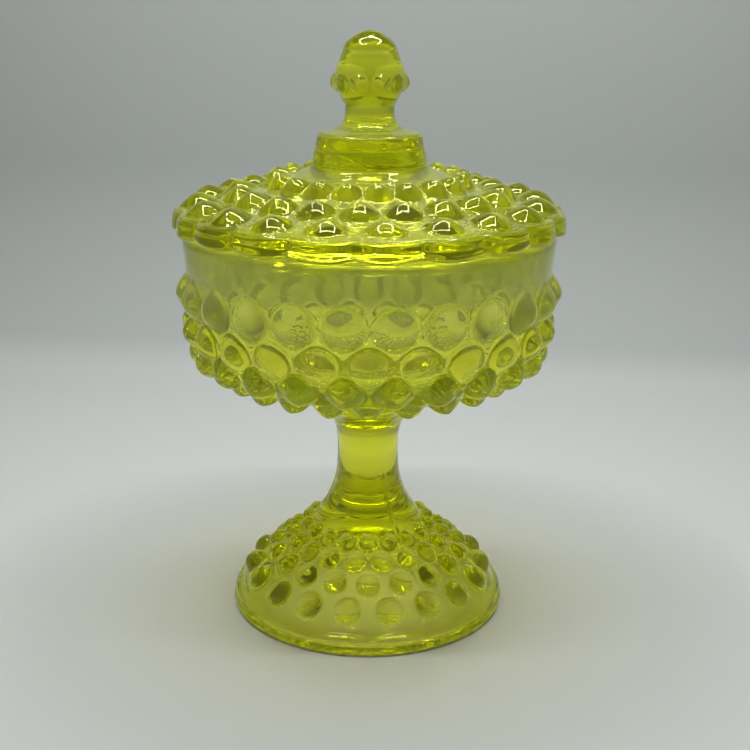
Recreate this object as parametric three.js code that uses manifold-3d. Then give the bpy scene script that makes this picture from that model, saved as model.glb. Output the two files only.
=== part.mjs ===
// A pressed-glass hobnail dish with a lid: a bowl, stem and foot pressed as one piece,
// and a loose lid with a collar and a pointed finial.
// Millimetres, +Z up, origin at the middle of the foot's resting ring.
import * as THREE from 'three';
import { mergeVertices } from 'three/addons/utils/BufferGeometryUtils.js';
import Module from 'manifold-3d';

// ---- driving dimensions ----
const footRadius = 52.6;
const footHeight = 38;
const stemRadius = 11.4;
const stemLength = 37;
const bowlRadius = 67.8;
const bowlHeight = 71;
const bowlWall = 5.2;
const bowlFloor = 16.7;
const lidOverhang = 3.5;
const lidDomeHeight = 24;
const lidRimThickness = 7.6;
const lidWall = 7.5;
const collarRadius = 20.5;
const collarHeight = 10;
const finialRadius = 12.7;
const finialHeight = 35.7;
const scallopDepth = 1.9;
const restRingWidth = 4;
const footBead = 2.1;
const footWall = 7;
const footCrown = 9.1;

// ---- clearances ----
const seatGap = 0.3;
const locatingClearance = 0.9;
const locatingDepth = 5;
const locatingWall = 4.4;

// ---- hobs in one full row ----
const footHobs = 18;
const bowlHobs = 24;
const lidHobs = 20;
const finialHobs = lidHobs / 2;
const hobSides = 6;
const smallHobSides = 5;
const bowlSides = 36;
const lidSides = 3 * lidHobs;
const finialSides = 20;
const hobSink = 2.5;
const lidHobSink = 2;
const finialHobSink = 1.5;
const bowlHobStart = THREE.MathUtils.degToRad(7.8);
const lidHobStart = THREE.MathUtils.degToRad(5);

// ---- levels and radii that follow ----
const bowlBase = footHeight + stemLength;
const seat = bowlBase + bowlHeight;
const lidBase = seat + seatGap;
const lidRadius = bowlRadius + lidOverhang;
const collarBase = lidBase + lidDomeHeight;
const collarTop = collarBase + collarHeight;
const bowlMouthRadius = bowlRadius - bowlWall;
const locatingRadius = bowlMouthRadius - locatingClearance;
const restRingOuter = footRadius - footBead;
const restRingInner = restRingOuter - restRingWidth;
const hobTurn = (count) => (2 * Math.PI) / count;

const wasm = await Module();
wasm.setup();

// A closed triangle mesh as a solid: shared corners joined, empty triangles dropped.
function solid(geometry) {
  const bare = geometry.clone();
  bare.deleteAttribute('normal');
  bare.deleteAttribute('uv');
  const joined = mergeVertices(bare, 1e-4);
  const corners = joined.index.array;
  const kept = [];
  for (let i = 0; i < corners.length; i += 3) {
    const [a, b, c] = [corners[i], corners[i + 1], corners[i + 2]];
    if (a !== b && b !== c && c !== a) kept.push(a, b, c);
  }
  return new wasm.Manifold(new wasm.Mesh({
    numProp: 3,
    vertProperties: joined.attributes.position.array,
    triVerts: new Uint32Array(kept),
  }));
}

// The solid as a geometry to draw.
function geometryOf(shape) {
  const mesh = shape.getMesh();
  const geometry = new THREE.BufferGeometry();
  geometry.setAttribute('position', new THREE.BufferAttribute(mesh.vertProperties, 3));
  geometry.setIndex(new THREE.BufferAttribute(mesh.triVerts, 1));
  geometry.computeVertexNormals();
  return geometry;
}

// A body turned about Z from [radius, level] pairs that start and end on the axis.
function turned(profile, sides, start = 0) {
  const points = profile.map(([radius, level]) => new THREE.Vector2(radius, level));
  return new THREE.LatheGeometry(points, sides, start).rotateX(Math.PI / 2);
}

// [radius, level] pairs along one smooth curve through a few control points.
function smooth(controls, steps) {
  const curve = new THREE.SplineCurve(controls.map(([r, z]) => new THREE.Vector2(r, z)));
  return curve.getSpacedPoints(steps).map((p) => [p.x, p.y]);
}

// Where an outside profile reaches a level: its radius there and the way its surface faces.
function onProfile(profile, level) {
  for (let i = 1; i < profile.length; i += 1) {
    const [r0, z0] = profile[i - 1];
    const [r1, z1] = profile[i];
    if ((z0 - level) * (z1 - level) > 0 || z0 === z1) continue;
    const share = (level - z0) / (z1 - z0);
    return {
      radius: r0 + share * (r1 - r0),
      level,
      facing: Math.atan2(-(r1 - r0), z1 - z0),
    };
  }
  throw new Error('no surface at this level');
}

// The inner points of an outside profile, moved square to it into the glass.
function inset(profile, depth) {
  return profile.slice(1, -1).map(([radius, level], i) => {
    const [r0, z0] = profile[i];
    const [r1, z1] = profile[i + 2];
    const length = Math.hypot(r1 - r0, z1 - z0);
    return [radius - (depth * (z1 - z0)) / length, level + (depth * (r1 - r0)) / length];
  });
}

// One rounded stud standing on the plane z = 0, with its root sunk below it.
function hob(radius, height, sink, sides) {
  return turned([
    [0, -sink],
    [radius * 1.08, -sink],
    [radius * 0.74, height * 0.66],
    [0, height],
  ], sides);
}

// A full row of studs seated on an outside profile, each one facing straight out of it.
function hobRow(profile, row, sink) {
  const place = onProfile(profile, row.level);
  const studs = [];
  for (let i = 0; i < row.count; i += 1) {
    const turn = row.start + (i + row.offset) * hobTurn(row.count);
    const stud = hob(row.radius, row.height, sink, row.sides)
      .rotateY(Math.PI / 2 - place.facing)
      .translate(place.radius, 0, place.level)
      .rotateZ(turn);
    studs.push(solid(stud));
  }
  return studs;
}

function union(body, studs) {
  return studs.reduce((sum, stud) => sum.add(stud), body);
}

// ---- outside profiles, from the bottom up ----
function footProfile() {
  return [
    [restRingOuter, 0],
    [footRadius - footBead / 4, 1.1],
    [footRadius, 3],
    [footRadius - 0.7, 5.1],
    [footRadius * 0.955, footHeight * 0.172],
    [footRadius * 0.885, footHeight * 0.275],
    [footRadius * 0.67, footHeight * 0.53],
    [footRadius * 0.45, footHeight * 0.79],
    [footRadius * 0.345, footHeight],
  ];
}

function stemProfile() {
  return smooth([
    [stemRadius + 4, footHeight + stemLength * 0.14],
    [stemRadius + 1.2, footHeight + stemLength * 0.33],
    [stemRadius, footHeight + stemLength * 0.6],
    [stemRadius + 0.2, footHeight + stemLength * 0.82],
    [stemRadius + 3.4, bowlBase - 0.4],
  ], 5);
}

function bowlProfile() {
  return [
    ...smooth([
      [stemRadius + 6.5, bowlBase + bowlHeight * 0.03],
      [bowlRadius * 0.46, bowlBase + bowlHeight * 0.135],
      [bowlRadius * 0.765, bowlBase + bowlHeight * 0.265],
      [bowlRadius * 0.93, bowlBase + bowlHeight * 0.4],
      [bowlRadius * 0.957, bowlBase + bowlHeight * 0.55],
      [bowlRadius * 0.976, bowlBase + bowlHeight * 0.72],
      [bowlRadius, bowlBase + bowlHeight * 0.93],
    ], 7),
    [bowlRadius - 0.2, seat - 1.6],
    [bowlRadius - 1.2, seat],
  ];
}

function lidDomeProfile() {
  const dome = lidBase + lidRimThickness;
  const rise = collarBase - dome;
  return [
    [lidRadius - 2.1, lidBase],
    [lidRadius - 0.6, lidBase + 0.5],
    [lidRadius, lidBase + lidRimThickness * 0.3],
    [lidRadius - 0.7, lidBase + lidRimThickness * 0.75],
    [lidRadius - 2.8, dome],
    [lidRadius * 0.89, dome + rise * 0.09],
    [lidRadius * 0.68, dome + rise * 0.3],
    [lidRadius * 0.48, dome + rise * 0.6],
    [collarRadius * 1.12, collarBase - 0.9],
    [collarRadius * 0.6, collarBase],
    [0, collarBase],
  ];
}

function finialProfile() {
  const neck = collarRadius * 0.43;
  const at = (share) => collarTop + finialHeight * share;
  return [
    [0, collarBase - lidHobSink],
    [collarRadius, collarBase - lidHobSink],
    [collarRadius, collarBase + collarHeight * 0.1],
    [collarRadius * 0.92, collarTop - 1],
    [collarRadius * 0.87, collarTop],
    [neck * 1.35, at(0.055)],
    [neck, at(0.19)],
    [neck * 1.17, at(0.33)],
    [finialRadius * 0.96, at(0.41)],
    [finialRadius, at(0.5)],
    [finialRadius * 0.79, at(0.77)],
    [finialRadius * 0.6, at(0.9)],
    [finialRadius * 0.22, at(0.98)],
    [0, at(1)],
  ];
}

// Pulls the lid's edge in between the lobes; the pull fades out towards the dome.
function scallop(geometry) {
  const edge = geometry.attributes.position;
  for (let i = 0; i < edge.count; i += 1) {
    const [x, y] = [edge.getX(i), edge.getY(i)];
    const radius = Math.hypot(x, y);
    const reach = THREE.MathUtils.smoothstep(radius, lidRadius - 8, lidRadius - 1.5);
    const lobe = Math.abs(Math.cos(((Math.atan2(y, x) - lidHobStart) * lidHobs) / 2));
    const pull = scallopDepth * reach * (1 - lobe);
    edge.setX(i, (x * (radius - pull)) / radius || 0);
    edge.setY(i, (y * (radius - pull)) / radius || 0);
  }
  return geometry;
}

// Bowl, stem and foot: one pressing, hollow under the foot and open at the top.
function footedBowl() {
  const foot = footProfile();
  const bowl = bowlProfile();
  const underFoot = [
    [0, footHeight - footCrown],
    ...inset(foot.slice(4), footWall).reverse(),
    [restRingInner, 0],
  ];
  const inside = smooth([
    [bowlMouthRadius, seat - 0.6],
    [bowlRadius * 0.97 - bowlWall, bowlBase + bowlHeight * 0.72],
    [bowlRadius * 0.94 - bowlWall, bowlBase + bowlHeight * 0.55],
    [bowlRadius * 0.86 - bowlWall, bowlBase + bowlFloor + bowlHeight * 0.175],
    [bowlRadius * 0.64, bowlBase + bowlFloor + bowlHeight * 0.085],
    [bowlRadius * 0.3, bowlBase + bowlFloor + bowlHeight * 0.015],
    [0, bowlBase + bowlFloor],
  ], 7);
  inside[inside.length - 1][0] = 0;
  const outline = [
    ...underFoot,
    ...foot,
    ...stemProfile(),
    ...bowl,
    [bowlMouthRadius + 0.6, seat],
    ...inside,
  ];
  const footRows = [
    { level: footHeight * 0.36, radius: 4.9, height: 4, offset: 0 },
    { level: footHeight * 0.535, radius: 4.2, height: 3.6, offset: 0.5 },
    { level: footHeight * 0.69, radius: 3.5, height: 3.2, offset: 0 },
    { level: footHeight * 0.83, radius: 2.8, height: 2.7, offset: 0.5 },
  ].map((row) => ({ ...row, start: 0, count: footHobs, sides: smallHobSides }));
  const bowlRows = [
    { level: bowlBase + bowlHeight * 0.255, radius: 5.2, height: 3.8, offset: 0.5 },
    { level: bowlBase + bowlHeight * 0.385, radius: 6.2, height: 4.4, offset: 0 },
    { level: bowlBase + bowlHeight * 0.515, radius: 6.8, height: 4.6, offset: 0.5 },
    { level: bowlBase + bowlHeight * 0.695, radius: 7.1, height: 4.8, offset: 0 },
  ].map((row) => ({ ...row, start: bowlHobStart, count: bowlHobs, sides: hobSides }));
  const studs = [
    ...footRows.flatMap((row) => hobRow(foot, row, hobSink)),
    ...bowlRows.flatMap((row) => hobRow(bowl, row, hobSink)),
  ];
  return union(solid(turned(outline, bowlSides)), studs);
}

// Lid: scalloped edge, ring that drops inside the bowl's mouth, hollow dome, collar and finial.
function lid() {
  const dome = lidDomeProfile();
  const finial = finialProfile();
  const inner = locatingRadius - locatingWall;
  const outline = [
    [0, collarBase - lidWall + 1.9],
    ...inset(dome.slice(5, -1), lidWall).reverse(),
    [inner, lidBase - 1.2],
    [inner + 0.8, lidBase - locatingDepth],
    [locatingRadius - 0.5, lidBase - locatingDepth],
    [locatingRadius, lidBase],
    ...dome,
  ];
  const domeBase = lidBase + lidRimThickness;
  const rise = collarBase - domeBase;
  const rows = [
    { level: domeBase + rise * 0.13, radius: 6.3, height: 4, offset: 0 },
    { level: domeBase + rise * 0.31, radius: 6.1, height: 4.5, offset: 0.5 },
    { level: domeBase + rise * 0.6, radius: 4.9, height: 4.3, offset: 0 },
  ].map((row) => ({ ...row, start: lidHobStart, count: lidHobs, sides: hobSides }));
  const crown = {
    level: collarTop + finialHeight * 0.5,
    radius: 3.2,
    height: 1.5,
    start: 0,
    offset: 0,
    count: finialHobs,
    sides: smallHobSides,
  };
  const studs = [
    ...rows.flatMap((row) => hobRow(dome, row, lidHobSink)),
    ...hobRow(finial, crown, finialHobSink),
  ];
  const plate = solid(scallop(turned(outline, lidSides, lidHobStart + hobTurn(lidHobs) / 2)));
  return union(plate.add(solid(turned(finial, finialSides))), studs);
}

// Yellow-green uranium glass; the lid is the milkier of the two.
function glass(colour) {
  return new THREE.MeshStandardMaterial({
    color: colour,
    roughness: 0.06,
    metalness: 0,
    transparent: true,
    opacity: 0.72,
    side: THREE.DoubleSide,
  });
}

function piece(name, shape, colour) {
  const mesh = new THREE.Mesh(geometryOf(shape), glass(colour));
  mesh.name = name;
  return mesh;
}

const dish = new THREE.Group();
dish.name = 'uranium_glass_dish';
dish.add(piece('footed_bowl', footedBowl(), 0x959c24));
dish.add(piece('lid', lid(), 0x9ea23a));

export default dish;
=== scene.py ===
"""A covered footed dish of pressed uranium glass: its two glass pieces, their materials and a studio.

The pieces are turned shapes with round studs raised on them. Outlines are (radius, level) pairs in
millimetres, level 0 being the table, and become metres only when a mesh is made.
"""

import math

import bpy
import numpy as np
from mathutils import Matrix, Vector


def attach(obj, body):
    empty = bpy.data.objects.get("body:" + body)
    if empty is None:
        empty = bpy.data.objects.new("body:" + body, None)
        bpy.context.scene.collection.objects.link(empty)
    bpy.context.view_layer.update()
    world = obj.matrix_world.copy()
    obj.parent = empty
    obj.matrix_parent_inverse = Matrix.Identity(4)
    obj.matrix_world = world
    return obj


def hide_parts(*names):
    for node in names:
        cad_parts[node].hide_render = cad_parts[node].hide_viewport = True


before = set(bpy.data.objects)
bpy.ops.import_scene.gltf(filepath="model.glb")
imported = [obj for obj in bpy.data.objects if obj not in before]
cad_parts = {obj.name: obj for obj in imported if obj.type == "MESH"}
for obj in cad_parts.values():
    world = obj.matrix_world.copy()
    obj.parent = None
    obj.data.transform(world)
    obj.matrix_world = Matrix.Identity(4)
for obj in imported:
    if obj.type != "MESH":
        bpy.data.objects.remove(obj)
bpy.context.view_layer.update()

MM = 0.001

# ---- the dish, in millimetres ----
FOOT_RADIUS = 52.4
STEM_RADIUS = 11.4
SEAT = 146.0
BOWL_RIM = 67.9
BOWL_MOUTH = 62.5
LID_GAP = 0.3
LID_RADIUS = 71.3
LOCATING_RADIUS = 61.7
COLLAR_TOP = 180.3
TOP = 216.0

# ---- the studs: how many in a row, and the azimuth of each row's first one, in degrees ----
BOWL_HOBS = 24
FOOT_HOBS = 18
LID_HOBS = 20
FINIAL_HOBS = 10
FRONT = 0.2
BOWL_BETWEEN = 7.8
FOOT_BETWEEN = 10.5
LID_FRONT = 5
LID_BETWEEN = -4
FINIAL_FIRST = 18
STUD_ROUNDING = 0.85

# ---- the mould's seams ----
SEAM_AT = math.radians(31)
SEAM_COUNT = 3
SEAM_HEIGHT = 0.28
SEAM_WIDTH = 0.55
SEAM_STOPS_BELOW_RIM = 8

# ---- the scallops of the lid's edge: drawn in over a band, lifted below a level over the seat ----
SCALLOP_DEPTH = 1.9
SCALLOP_LIFT = 1.0
SCALLOP_BAND = 8
SCALLOP_FADE = 6.5
LIFT_BELOW = 4
LIFT_FADE = 3.5

# ---- fineness: columns around each piece ----
BOWL_COLUMNS = 408
LID_COLUMNS = 460
STEPS_PER_KNOT = 40

# ---- the glass ----
CLEAR_GREEN = (0.96, 0.97, 0.78)
MILKY_GREEN = (0.80, 0.87, 0.12)
GLOSS_TINT = (1.0, 1.0, 0.45)
# the colour of the glass's faint emission: partly its fluorescence, partly painted light
GLOW_AND_PAINTED_LIGHT_COLOUR = (0.95, 1.0, 0.0)
PASSED_COLOUR = (0.952, 0.958, 0.0)
PASSED_DENSITY = 130
ROUGHNESS = 0.02
GLASS_IOR = 1.5
MOTTLE_SCALE = 45
MOTTLE_DETAIL = 3
MOTTLE_FROM, MOTTLE_TO = 0.3, 0.7
MOTTLE_LEAST = 0.55
STUD_ROOT = 0.15
STUD_TIP = 0.65

# ---- how milky the glass is at each level, 0 being clear ----
BOWL_MILK = [(0, 0.02), (36, 0.04), (80, 0.04), (100, 0.05), (116, 0.1), (122, 0.25), (129, 0.35),
             (133, 0.75), (146, 1.0)]
LID_MILK = [(141, 0.3), (147, 0.04), (154, 0.04), (157, 0.2), (160, 0.5), (166, 0.4), (169, 0.05),
            (179, 0.02), (181, 0.4), (190, 0.6), (194, 1.5), (208.4, 1.5), (209.4, 0.0), (216, 0.0)]


def spline(points, step):
    """Points at about every step along a smooth curve through the given (radius, level) pairs."""
    knots = [np.array(p, float) for p in points]
    knots = [2 * knots[0] - knots[1], *knots, 2 * knots[-1] - knots[-2]]
    dense = []
    for before, start, end, after in zip(knots, knots[1:], knots[2:], knots[3:]):
        for t in np.linspace(0, 1, STEPS_PER_KNOT, endpoint=False):
            bend = 2 * before - 5 * start + 4 * end - after
            twist = 3 * start - before - 3 * end + after
            dense.append(0.5 * (2 * start + (end - before) * t + bend * t**2 + twist * t**3))
    dense = np.array([*dense, knots[-2]])
    along = np.concatenate([[0], np.cumsum(np.hypot(*np.diff(dense, axis=0).T))])
    count = max(2, int(round(along[-1] / step)) + 1)
    at = np.linspace(0, along[-1], count)
    return np.column_stack([np.interp(at, along, dense[:, k]) for k in (0, 1)])


def join(*stretches):
    """One outline from several stretches, without the doubled points where they meet."""
    outline = [stretches[0]]
    for stretch in stretches[1:]:
        outline.append(stretch[1:])
    return np.concatenate(outline)


def facing(outline):
    """The outward normal of the outline at each point."""
    along = np.gradient(outline, axis=0)
    normal = np.column_stack([along[:, 1], -along[:, 0]])
    return normal / np.linalg.norm(normal, axis=1)[:, None]


class Row:
    """One full row of studs: its level on the outline, their number and size, the first's azimuth
    in degrees, and how steep their sides are."""

    def __init__(self, level, count, radius, height, first, blunt):
        self.level = level
        self.count = count
        self.radius = radius
        self.height = height
        self.first = math.radians(first)
        self.blunt = blunt


def stud_relief(outline, rows, lowest, highest, azimuth):
    """How far each grid point is lifted by the studs, and how high up a stud it lies (0 to 1)."""
    steps = np.hypot(*np.diff(outline, axis=0).T)
    along = np.concatenate([[0], np.cumsum(steps)])
    relief = np.zeros((len(outline), len(azimuth)))
    share = np.zeros_like(relief)
    for row in rows:
        seat = seat_on(outline, row.level, lowest, highest)
        middle = np.interp(seat, np.arange(len(outline)), along)
        radius = np.interp(seat, np.arange(len(outline)), outline[:, 0])
        pitch = 2 * math.pi / row.count
        turn = (azimuth - row.first + pitch / 2) % pitch - pitch / 2
        across = radius * turn[None, :]
        away = np.hypot((along - middle)[:, None], across) / row.radius
        bump = stud_profile(away, row.blunt)
        relief = np.maximum(relief, row.height * bump)
        share = np.maximum(share, bump)
    return relief, share


def stud_profile(away, blunt):
    """A rounded stud's height, 1 at its middle and 0 past its root; blunt studs have steeper sides."""
    return np.clip(1 - away**blunt, 0, 1) ** STUD_ROUNDING


def seat_on(outline, level, lowest, highest):
    """The fractional index at which the outline reaches a level, between two indices."""
    for i in range(lowest, highest):
        a, b = outline[i][1], outline[i + 1][1]
        if (a - level) * (b - level) <= 0 and a != b:
            return i + (level - a) / (b - a)
    raise ValueError("no surface at this level")


def seam_relief(outline, azimuth, lowest, highest):
    """The fine raised lines that the mould's joints leave."""
    pitch = 2 * math.pi / SEAM_COUNT
    turn = (azimuth - SEAM_AT + pitch / 2) % pitch - pitch / 2
    across = outline[:, 0][:, None] * turn[None, :]
    ridge = SEAM_HEIGHT * np.exp(-((across / SEAM_WIDTH) ** 2))
    inside = np.zeros(len(outline))
    inside[lowest:highest] = 1
    return ridge * inside[:, None]


def turned_mesh(name, outline, relief, share, azimuth, milk, reshape=None):
    """A closed surface of revolution with relief, in metres, that carries its milkiness and studs."""
    normal = facing(outline)
    radius = outline[:, 0][:, None] + normal[:, 0][:, None] * relief
    level = outline[:, 1][:, None] + normal[:, 1][:, None] * relief
    if reshape:
        radius, level = reshape(radius, level, azimuth)
    x = radius * np.sin(azimuth)[None, :]
    y = -radius * np.cos(azimuth)[None, :]
    rings = np.stack([x, y, level], axis=2)[1:-1]
    columns = len(azimuth)
    verts = np.concatenate([
        [[0, 0, outline[0][1]]],
        rings.reshape(-1, 3),
        [[0, 0, outline[-1][1]]],
    ]) * MM
    studs = np.concatenate([[0], share[1:-1].ravel(), [0]])
    levels, shares = zip(*milk)
    milkiness = np.interp(verts[:, 2] / MM, levels, shares)
    faces = []
    last = len(verts) - 1
    ring_count = len(rings)
    for j in range(columns):
        k = (j + 1) % columns
        faces.append((0, 1 + k, 1 + j))
        for i in range(ring_count - 1):
            a = 1 + i * columns
            b = a + columns
            faces.append((a + j, a + k, b + k, b + j))
        a = 1 + (ring_count - 1) * columns
        faces.append((last, a + j, a + k))
    mesh = bpy.data.meshes.new(name)
    mesh.from_pydata(verts.tolist(), [], faces)
    mesh.attributes.new("stud", "FLOAT", "POINT").data.foreach_set("value", studs)
    mesh.attributes.new("milk", "FLOAT", "POINT").data.foreach_set("value", milkiness)
    mesh.polygons.foreach_set("use_smooth", [True] * len(mesh.polygons))
    mesh.update()
    piece = bpy.data.objects.new(name, mesh)
    bpy.context.scene.collection.objects.link(piece)
    return piece


def around(columns):
    """Evenly spaced azimuths, from the camera's side towards +X."""
    return np.linspace(0, 2 * math.pi, columns, endpoint=False)


def footed_bowl():
    """The bowl, stem and foot, from the middle of the hollow foot round to the middle of the inside."""
    azimuth = around(BOWL_COLUMNS)
    under = spline([(0, 28.9), (11, 27), (23, 20.5), (35, 11.2), (42, 4.9), (45.8, 1.1), (46.8, 0)], 4)
    ring = spline([(46.8, 0), (50.3, 0)], 1.7)
    bead = spline([(50.3, 0), (51.6, 0.5), (52.4, 1.8), (52.1, 3.0), (51.4, 3.6), (51.95, 4.3),
                   (51.9, 5.3), (51.3, 6.4), (50.3, 6.9)], 0.5)
    dome = spline([(50.3, 6.9), (49.0, 7.7), (46.5, 10.6), (43.2, 13.9), (35.3, 20.3), (28.9, 25.9),
                   (23.5, 31.0), (19.6, 35.3)], 0.75)
    stem = spline([(19.6, 35.3), (17.9, 38), (15.6, 41.6), (13.9, 45.3), (12.5, 49.4), (11.7, 54),
                   (STEM_RADIUS, 60), (11.45, 66), (12.1, 70.4), (13.5, 73.4), (15.8, 76), (19, 78.6)], 1.9)
    belly = spline([(19, 78.6), (24, 81.5), (31, 85.0), (40, 88.8), (50.6, 92.9), (58.6, 97.2),
                    (62.7, 102.7), (64.2, 109.3), (65.0, 116), (65.8, 123), (66.5, 130), (67.2, 136),
                    (67.8, 142), (BOWL_RIM, 144.2)], 0.95)
    rim = spline([(BOWL_RIM, 144.2), (67.5, 145.3), (66.6, SEAT), (63.8, SEAT), (62.9, 145.6),
                  (BOWL_MOUTH, 144.8)], 0.7)
    inside = spline([(BOWL_MOUTH, 144.8), (61.5, 130), (60.4, 118), (58.2, 109), (53.0, 102.5),
                     (43, 98), (30, 95.0), (15, 93), (0, 92.5)], 4.5)
    outline = join(under, ring, bead, dome, stem, belly, rim, inside)
    dome_start = len(join(under, ring, bead)) - 1
    belly_start = len(join(under, ring, bead, dome, stem)) - 1
    rim_start = len(join(under, ring, bead, dome, stem, belly)) - 1
    foot_rows = [
        Row(13.6, FOOT_HOBS, 5.4, 4.0, FOOT_BETWEEN, 2.2),
        Row(20.2, FOOT_HOBS, 4.6, 3.6, FRONT, 2.2),
        Row(25.9, FOOT_HOBS, 4.0, 3.2, FOOT_BETWEEN, 2.2),
        Row(31.2, FOOT_HOBS, 3.3, 2.7, FRONT, 2.2),
    ]
    bowl_rows = [
        Row(93.4, BOWL_HOBS, 5.6, 3.9, FRONT, 1.7),
        Row(101.2, BOWL_HOBS, 6.6, 4.6, BOWL_BETWEEN, 1.7),
        Row(111.2, BOWL_HOBS, 6.9, 4.8, FRONT, 1.7),
        Row(124.0, BOWL_HOBS, 7.4, 4.8, BOWL_BETWEEN, 1.7),
    ]
    lift, share = stud_relief(outline, foot_rows, dome_start, belly_start, azimuth)
    lift_bowl, share_bowl = stud_relief(outline, bowl_rows, belly_start, rim_start, azimuth)
    seam = seam_relief(outline, azimuth, dome_start, rim_start - SEAM_STOPS_BELOW_RIM)
    relief = np.maximum(lift, lift_bowl) + seam
    share = np.maximum(share, share_bowl)
    return turned_mesh("bowl_glass", outline, relief, share, azimuth, BOWL_MILK)


def scalloped(radius, level, azimuth):
    """The lid's edge drawn in and lifted between its lobes."""
    lobe = np.abs(np.cos((azimuth - math.radians(LID_FRONT)) * LID_HOBS / 2))[None, :]
    reach = np.clip((radius - (LID_RADIUS - SCALLOP_BAND)) / SCALLOP_FADE, 0, 1)
    reach = reach * reach * (3 - 2 * reach)
    low = np.clip((SEAT + LIFT_BELOW - level) / LIFT_FADE, 0, 1)
    drawn = radius - SCALLOP_DEPTH * reach * (1 - lobe)
    lifted = level + SCALLOP_LIFT * reach * low * (1 - lobe)
    return drawn, lifted


def lid():
    """The lid, from the middle of its underside out to the edge and up to the finial's tip."""
    azimuth = around(LID_COLUMNS)
    base = SEAT + LID_GAP
    under = spline([(0, 164.7), (10, 164.2), (17.4, 163.0), (26, 159.6), (35.6, 155), (48.5, 150.2),
                    (54.5, 147.0), (56.6, 144.6), (57.3, 141.9)], 2.4)
    ring = spline([(57.3, 141.9), (57.7, 141.5), (58.4, 141.3), (60.7, 141.3), (61.3, 141.7),
                   (61.6, 142.5), (LOCATING_RADIUS, base)], 0.8)
    seat = spline([(LOCATING_RADIUS, base), (69.2, base)], 1.8)
    edge = spline([(69.2, base), (70.6, 146.6), (71.2, 147.4), (LID_RADIUS, 148.6), (71.15, 150.4),
                   (70.9, 152.2), (70.3, 153.4), (69.4, 154.1), (67.8, 154.5)], 0.65)
    dome = spline([(67.8, 154.5), (64, 155.2), (58, 156.1), (52, 157.3), (45, 159.1), (38, 161.4),
                   (31, 164.2), (26, 166.3), (22.8, 167.7), (21.5, 168.4), (20.9, 169.2),
                   (20.75, 170.4)], 0.72)
    collar = spline([(20.75, 170.4), (20.3, 173.2), (19.5, 176), (19.0, 178.6), (18.75, 179.6),
                     (18.3, COLLAR_TOP), (17.5, 180.8)], 0.9)
    neck = spline([(17.5, 180.8), (14.5, 181.3), (11.5, 182.3), (9.9, 183.9), (9.0, 186.0), (8.8, 188),
                   (8.8, 190.2)], 0.9)
    ball = spline([(8.8, 190.2), (9.5, 191.2), (10.2, 192.6), (11.0, 194.2), (12.0, 196.2), (12.5, 198.2),
                   (12.6, 200), (12.3, 201.8), (11.5, 204), (10.6, 206.4), (10.1, 208.2), (9.6, 209.1)], 0.6)
    cap = spline([(9.6, 209.1), (9.35, 210.1), (8.4, 211.7), (6.6, 213.3), (4, 214.9), (1.6, 215.8),
                  (0, TOP)], 0.7)
    outline = join(under, ring, seat, edge, dome, collar, neck, ball, cap)
    dome_start = len(join(under, ring, seat, edge)) - 1
    collar_start = len(join(under, ring, seat, edge, dome)) - 1
    ball_start = len(join(under, ring, seat, edge, dome, collar, neck)) - 1
    cap_start = len(join(under, ring, seat, edge, dome, collar, neck, ball)) - 1
    rows = [
        Row(155.6, LID_HOBS, 7.2, 4.0, LID_FRONT, 1.5),
        Row(158.5, LID_HOBS, 6.9, 4.5, LID_BETWEEN, 1.5),
        Row(163.2, LID_HOBS, 5.5, 4.3, LID_FRONT, 1.5),
    ]
    crown = [Row(197.8, FINIAL_HOBS, 3.6, 1.7, FINIAL_FIRST, 1.35)]
    lift, share = stud_relief(outline, rows, dome_start, collar_start, azimuth)
    lift_top, share_top = stud_relief(outline, crown, ball_start, cap_start, azimuth)
    relief = np.maximum(lift, lift_top)
    share = np.maximum(share, share_top)
    return turned_mesh("lid_glass", outline, relief, share, azimuth, LID_MILK, scalloped)


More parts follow.
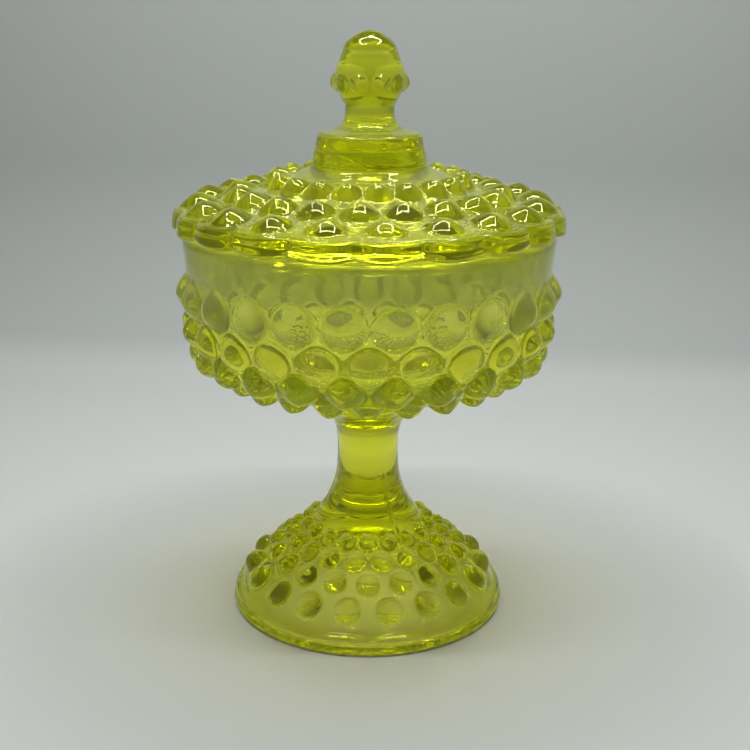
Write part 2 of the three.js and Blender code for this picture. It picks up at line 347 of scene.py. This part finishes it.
def glass(name, glow_and_painted_light, milk_most, stud_milk, tip_milk):
    """Yellow-green uranium glass, clear to milky with the level and with the place on a stud.

    stud_milk scales the milkiness on the studs, tip_milk adds some at their tips. The glass also glows
    a little: partly the uranium glass's own fluorescence, partly painted light that stands in for light
    passed on through the glass from under the foot and from inside the bowl, more of it on the lid.
    """
    material = bpy.data.materials.new(name)
    material.use_nodes = True
    nodes = material.node_tree.nodes
    links = material.node_tree.links
    nodes.clear()

    def product(first, second):
        node = nodes.new("ShaderNodeMath")
        node.operation = "MULTIPLY"
        links.new(first, node.inputs[0])
        links.new(second, node.inputs[1])
        return node.outputs[0]

    def remapped(value, low, high, at_low, at_high):
        node = nodes.new("ShaderNodeMapRange")
        node.inputs["From Min"].default_value = low
        node.inputs["From Max"].default_value = high
        node.inputs["To Min"].default_value = at_low
        node.inputs["To Max"].default_value = at_high
        links.new(value, node.inputs["Value"])
        return node.outputs[0]

    def total(first, second):
        node = nodes.new("ShaderNodeMath")
        links.new(first, node.inputs[0])
        links.new(second, node.inputs[1])
        return node.outputs[0]

    def carried(attribute):
        node = nodes.new("ShaderNodeAttribute")
        node.attribute_name = attribute
        return node.outputs["Fac"]

    out = nodes.new("ShaderNodeOutputMaterial")
    shader = nodes.new("ShaderNodeBsdfPrincipled")
    volume = nodes.new("ShaderNodeVolumeAbsorption")
    place = nodes.new("ShaderNodeTexCoord")
    noise = nodes.new("ShaderNodeTexNoise")
    links.new(place.outputs["Object"], noise.inputs["Vector"])
    noise.inputs["Scale"].default_value = MOTTLE_SCALE
    noise.inputs["Detail"].default_value = MOTTLE_DETAIL
    patchy = remapped(noise.outputs["Fac"], MOTTLE_FROM, MOTTLE_TO, MOTTLE_LEAST, 1.0)
    stud = carried("stud")
    off_studs = remapped(stud, 0.0, STUD_ROOT, 1.0, stud_milk)
    on_tips = remapped(stud, STUD_TIP, 1.0, 0.0, tip_milk)
    cloudy = product(product(carried("milk"), patchy), total(off_studs, on_tips))
    tint = nodes.new("ShaderNodeMix")
    tint.data_type = "RGBA"
    tint.inputs["A"].default_value = (*CLEAR_GREEN, 1)
    tint.inputs["B"].default_value = (*MILKY_GREEN, 1)
    links.new(cloudy, tint.inputs["Factor"])
    links.new(tint.outputs["Result"], shader.inputs["Base Color"])
    links.new(remapped(cloudy, 0, 1, 1, 1 - milk_most), shader.inputs["Transmission Weight"])
    shader.inputs["Roughness"].default_value = ROUGHNESS
    shader.inputs["IOR"].default_value = GLASS_IOR
    shader.inputs["Specular Tint"].default_value = (*GLOSS_TINT, 1)
    # painted light: a faint emission, partly the glass's fluorescence, partly light painted in for what
    # passes through the pieces
    shader.inputs["Emission Color"].default_value = (*GLOW_AND_PAINTED_LIGHT_COLOUR, 1)
    shader.inputs["Emission Strength"].default_value = glow_and_painted_light
    volume.inputs["Color"].default_value = (*PASSED_COLOUR, 1)
    volume.inputs["Density"].default_value = PASSED_DENSITY
    links.new(shader.outputs[0], out.inputs["Surface"])
    links.new(volume.outputs[0], out.inputs["Volume"])
    return material


def place_pieces():
    """Each glass piece in its material, on its body."""
    bowl = footed_bowl()
    bowl.data.materials.append(
        glass("bowl_uranium_glass", glow_and_painted_light=0.009, milk_most=0.5, stud_milk=1.6, tip_milk=0.0)
    )
    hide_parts("footed_bowl")
    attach(bowl, "footed_bowl")
    cover = lid()
    cover.data.materials.append(
        glass("lid_uranium_glass", glow_and_painted_light=0.018, milk_most=0.2, stud_milk=0.1, tip_milk=0.5)
    )
    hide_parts("lid")
    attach(cover, "lid")


# ---- the studio, in metres ----
FLOOR_GREY = (0.58, 0.605, 0.585)
# painted light on the paper: a yellow glow beside the foot and a bright pool under it, for the light that
# the glass passes on to the table
PAINTED_GLOW_BESIDE_FOOT = (0.68, 0.685, 0.60)
PAINTED_LIGHT_UNDER_FOOT = (0.95, 0.95, 0.86)
PAINTED_LIGHT_OUT_TO = 0.12
UNDER_FOOT_FADE = 0.03
# painted shade: the paper's grey where it rises into the wall, darker than on the table
PAINTED_SHADE_WALL_GREY = (0.465, 0.495, 0.48)
PAPER_ROUGHNESS = 0.8
WALL_TONE_LEVEL = 0.016
PAPER_HALF_WIDTH = 5.0
PAPER_FRONT = -5.0
PAPER_TOP = 2.6
PAPER_TURN = -5
PAPER_DROP = 0.0002
TABLE_END = 0.27
BEND_RADIUS = 0.12
BEND_STEPS = 12
SKY_COLOUR = (0.97, 1.0, 0.98)
SKY_IN_FRONT = 0.05
SKY_BEHIND = 0.45
SKY_FROM, SKY_TO = -0.8, 0.5
STRIP_HEIGHT = 0.62
STRIP_WIDE = 0.2
STRIP_DEEP = 0.15
STRIP_THICK = 0.02
POWER_ACROSS = 1.15
POWER_ALONG = 0.85
GATHERED_POWER = 0.0042
GATHERED_LEVEL = 0.012
GATHERED_WIDTH = 0.08
FOCAL_SHARE = 1.7044
SENSOR = 36
CAMERA_PLACE = (0, -0.4624, 0.2281)
CAMERA_PITCH_YAW_ROLL = (16.626, 0.3, 0.358)
BOUNCES = 24
GLOSSY_BOUNCES = 8


def plain(name, colour, roughness):
    """A matt material of one colour."""
    material = bpy.data.materials.new(name)
    material.use_nodes = True
    shader = material.node_tree.nodes["Principled BSDF"]
    shader.inputs["Base Color"].default_value = (*colour, 1)
    shader.inputs["Roughness"].default_value = roughness
    return material


def backdrop_paper():
    """Pale on the table and darker on the wall, that darkening being painted shade, with a painted yellow
    glow near the foot and a painted pool of light under it.
    """
    material = plain("studio_paper", FLOOR_GREY, PAPER_ROUGHNESS)
    nodes = material.node_tree.nodes
    links = material.node_tree.links
    place = nodes.new("ShaderNodeTexCoord")
    split = nodes.new("ShaderNodeSeparateXYZ")
    rise = nodes.new("ShaderNodeMapRange")
    rise.interpolation_type = "SMOOTHSTEP"
    rise.inputs["From Max"].default_value = WALL_TONE_LEVEL
    # painted shade: above the wall's tone level the paper turns to the darker wall grey
    shade = nodes.new("ShaderNodeMix")
    shade.data_type = "RGBA"
    shade.inputs["B"].default_value = (*PAINTED_SHADE_WALL_GREY, 1)
    flat = nodes.new("ShaderNodeVectorMath")
    flat.operation = "MULTIPLY"
    flat.inputs[1].default_value = (1 / PAINTED_LIGHT_OUT_TO, 1 / PAINTED_LIGHT_OUT_TO, 0)
    away = nodes.new("ShaderNodeVectorMath")
    away.operation = "LENGTH"
    # painted light: the paper under and beside the foot made brighter and yellower, for the light that the
    # glass gathers there
    tint = nodes.new("ShaderNodeValToRGB")
    foot_share = FOOT_RADIUS * MM / PAINTED_LIGHT_OUT_TO
    first, last = tint.color_ramp.elements
    first.position, first.color = foot_share - UNDER_FOOT_FADE, (*PAINTED_LIGHT_UNDER_FOOT, 1)
    last.position, last.color = 1.0, (*FLOOR_GREY, 1)
    beside = tint.color_ramp.elements.new(foot_share)
    beside.color = (*PAINTED_GLOW_BESIDE_FOOT, 1)
    links.new(place.outputs["Object"], flat.inputs[0])
    links.new(flat.outputs["Vector"], away.inputs[0])
    links.new(away.outputs["Value"], tint.inputs["Fac"])
    links.new(tint.outputs["Color"], shade.inputs["A"])
    links.new(place.outputs["Object"], split.inputs[0])
    links.new(split.outputs["Z"], rise.inputs["Value"])
    links.new(rise.outputs[0], shade.inputs["Factor"])
    links.new(shade.outputs["Result"], nodes["Principled BSDF"].inputs["Base Color"])
    return material


def sweep():
    """A pale table that curves up into a wall a little way behind the dish, the wall darker with painted
    shade.
    """
    route = [(PAPER_FRONT, 0.0), (TABLE_END, 0.0)]
    for i in range(1, BEND_STEPS + 1):
        turn = math.radians(90 / BEND_STEPS * i)
        reach, rise = BEND_RADIUS * math.sin(turn), BEND_RADIUS - BEND_RADIUS * math.cos(turn)
        route.append((TABLE_END + reach, rise))
    route.append((TABLE_END + BEND_RADIUS, PAPER_TOP))
    verts = []
    for y, z in route:
        verts += [(-PAPER_HALF_WIDTH, y, z - PAPER_DROP), (PAPER_HALF_WIDTH, y, z - PAPER_DROP)]
    faces = [(2 * i, 2 * i + 1, 2 * i + 3, 2 * i + 2) for i in range(len(route) - 1)]
    mesh = bpy.data.meshes.new("studio_sweep")
    mesh.from_pydata(verts, [], faces)
    mesh.polygons.foreach_set("use_smooth", [True] * len(mesh.polygons))
    backdrop = bpy.data.objects.new("studio_sweep", mesh)
    bpy.context.scene.collection.objects.link(backdrop)
    backdrop.rotation_euler.z = math.radians(PAPER_TURN)
    backdrop.data.materials.append(backdrop_paper())


def strip(name, place, target, size, power):
    """A rectangular light that shines from a place towards a target."""
    light = bpy.data.lights.new(name, "AREA")
    light.shape = "RECTANGLE"
    light.size, light.size_y = size
    light.energy = power
    lamp = bpy.data.objects.new(name, light)
    bpy.context.scene.collection.objects.link(lamp)
    lamp.location = place
    lamp.rotation_euler = (Vector(target) - Vector(place)).to_track_quat("-Z", "Y").to_euler()
    return lamp


def lights():
    """Four narrow strips overhead, as in a light tent, and a soft sky.

    A small light under the foot stands for what the glass gathers there.
    """
    for side in (-1, 1):
        y, x = side * STRIP_DEEP, side * STRIP_WIDE
        strip("strip_across", (0, y, STRIP_HEIGHT), (0, y, 0), (2 * STRIP_WIDE, STRIP_THICK),
              POWER_ACROSS)
        strip("strip_along", (x, 0, STRIP_HEIGHT), (x, 0, 0), (STRIP_THICK, 2 * STRIP_DEEP),
              POWER_ALONG)
    gathered = strip("gathered_light", (0, 0, GATHERED_LEVEL), (0, 0, 0),
                     (GATHERED_WIDTH, GATHERED_WIDTH), GATHERED_POWER)
    gathered.data.shape = "DISK"
    gathered.visible_camera = gathered.visible_glossy = gathered.visible_transmission = False
    world = bpy.data.worlds.new("studio_sky")
    bpy.context.scene.world = world
    world.use_nodes = True
    nodes = world.node_tree.nodes
    links = world.node_tree.links
    place = nodes.new("ShaderNodeTexCoord")
    split = nodes.new("ShaderNodeSeparateXYZ")
    depth = nodes.new("ShaderNodeMapRange")
    depth.interpolation_type = "SMOOTHSTEP"
    depth.inputs["From Min"].default_value = SKY_FROM
    depth.inputs["From Max"].default_value = SKY_TO
    depth.inputs["To Min"].default_value = SKY_IN_FRONT
    depth.inputs["To Max"].default_value = SKY_BEHIND
    sky = nodes["Background"]
    sky.inputs["Color"].default_value = (*SKY_COLOUR, 1)
    links.new(place.outputs["Generated"], split.inputs[0])
    links.new(split.outputs["Y"], depth.inputs["Value"])
    links.new(depth.outputs[0], sky.inputs["Strength"])


def camera():
    """A little above the finial, looking down at the dish, with the small roll of a hand-held shot."""
    place = Vector(CAMERA_PLACE)
    pitch, yaw, roll = (math.radians(angle) for angle in CAMERA_PITCH_YAW_ROLL)
    forward = Vector((
        math.sin(yaw) * math.cos(pitch),
        math.cos(yaw) * math.cos(pitch),
        -math.sin(pitch),
    ))
    level_right = forward.cross(Vector((0, 0, 1))).normalized()
    level_up = level_right.cross(forward)
    right = level_right * math.cos(roll) + level_up * math.sin(roll)
    up = level_up * math.cos(roll) - level_right * math.sin(roll)
    lens = bpy.data.cameras.new("camera")
    lens.sensor_width = SENSOR
    lens.lens = SENSOR * FOCAL_SHARE
    lens.clip_start = 0.01
    view = bpy.data.objects.new("camera", lens)
    view.matrix_world = Matrix((
        (right.x, up.x, -forward.x, place.x),
        (right.y, up.y, -forward.y, place.y),
        (right.z, up.z, -forward.z, place.z),
        (0, 0, 0, 1),
    ))
    bpy.context.scene.collection.objects.link(view)
    bpy.context.scene.camera = view


def render_settings():
    """Enough bounces for light to pass through both pieces, and no cut in what the glass gathers."""
    scene = bpy.context.scene
    scene.view_settings.view_transform = "Standard"
    scene.cycles.max_bounces = BOUNCES
    scene.cycles.transmission_bounces = BOUNCES
    scene.cycles.glossy_bounces = GLOSSY_BOUNCES
    scene.cycles.sample_clamp_indirect = 0
    scene.cycles.use_denoising = True


camera()
place_pieces()
sweep()
lights()
render_settings()
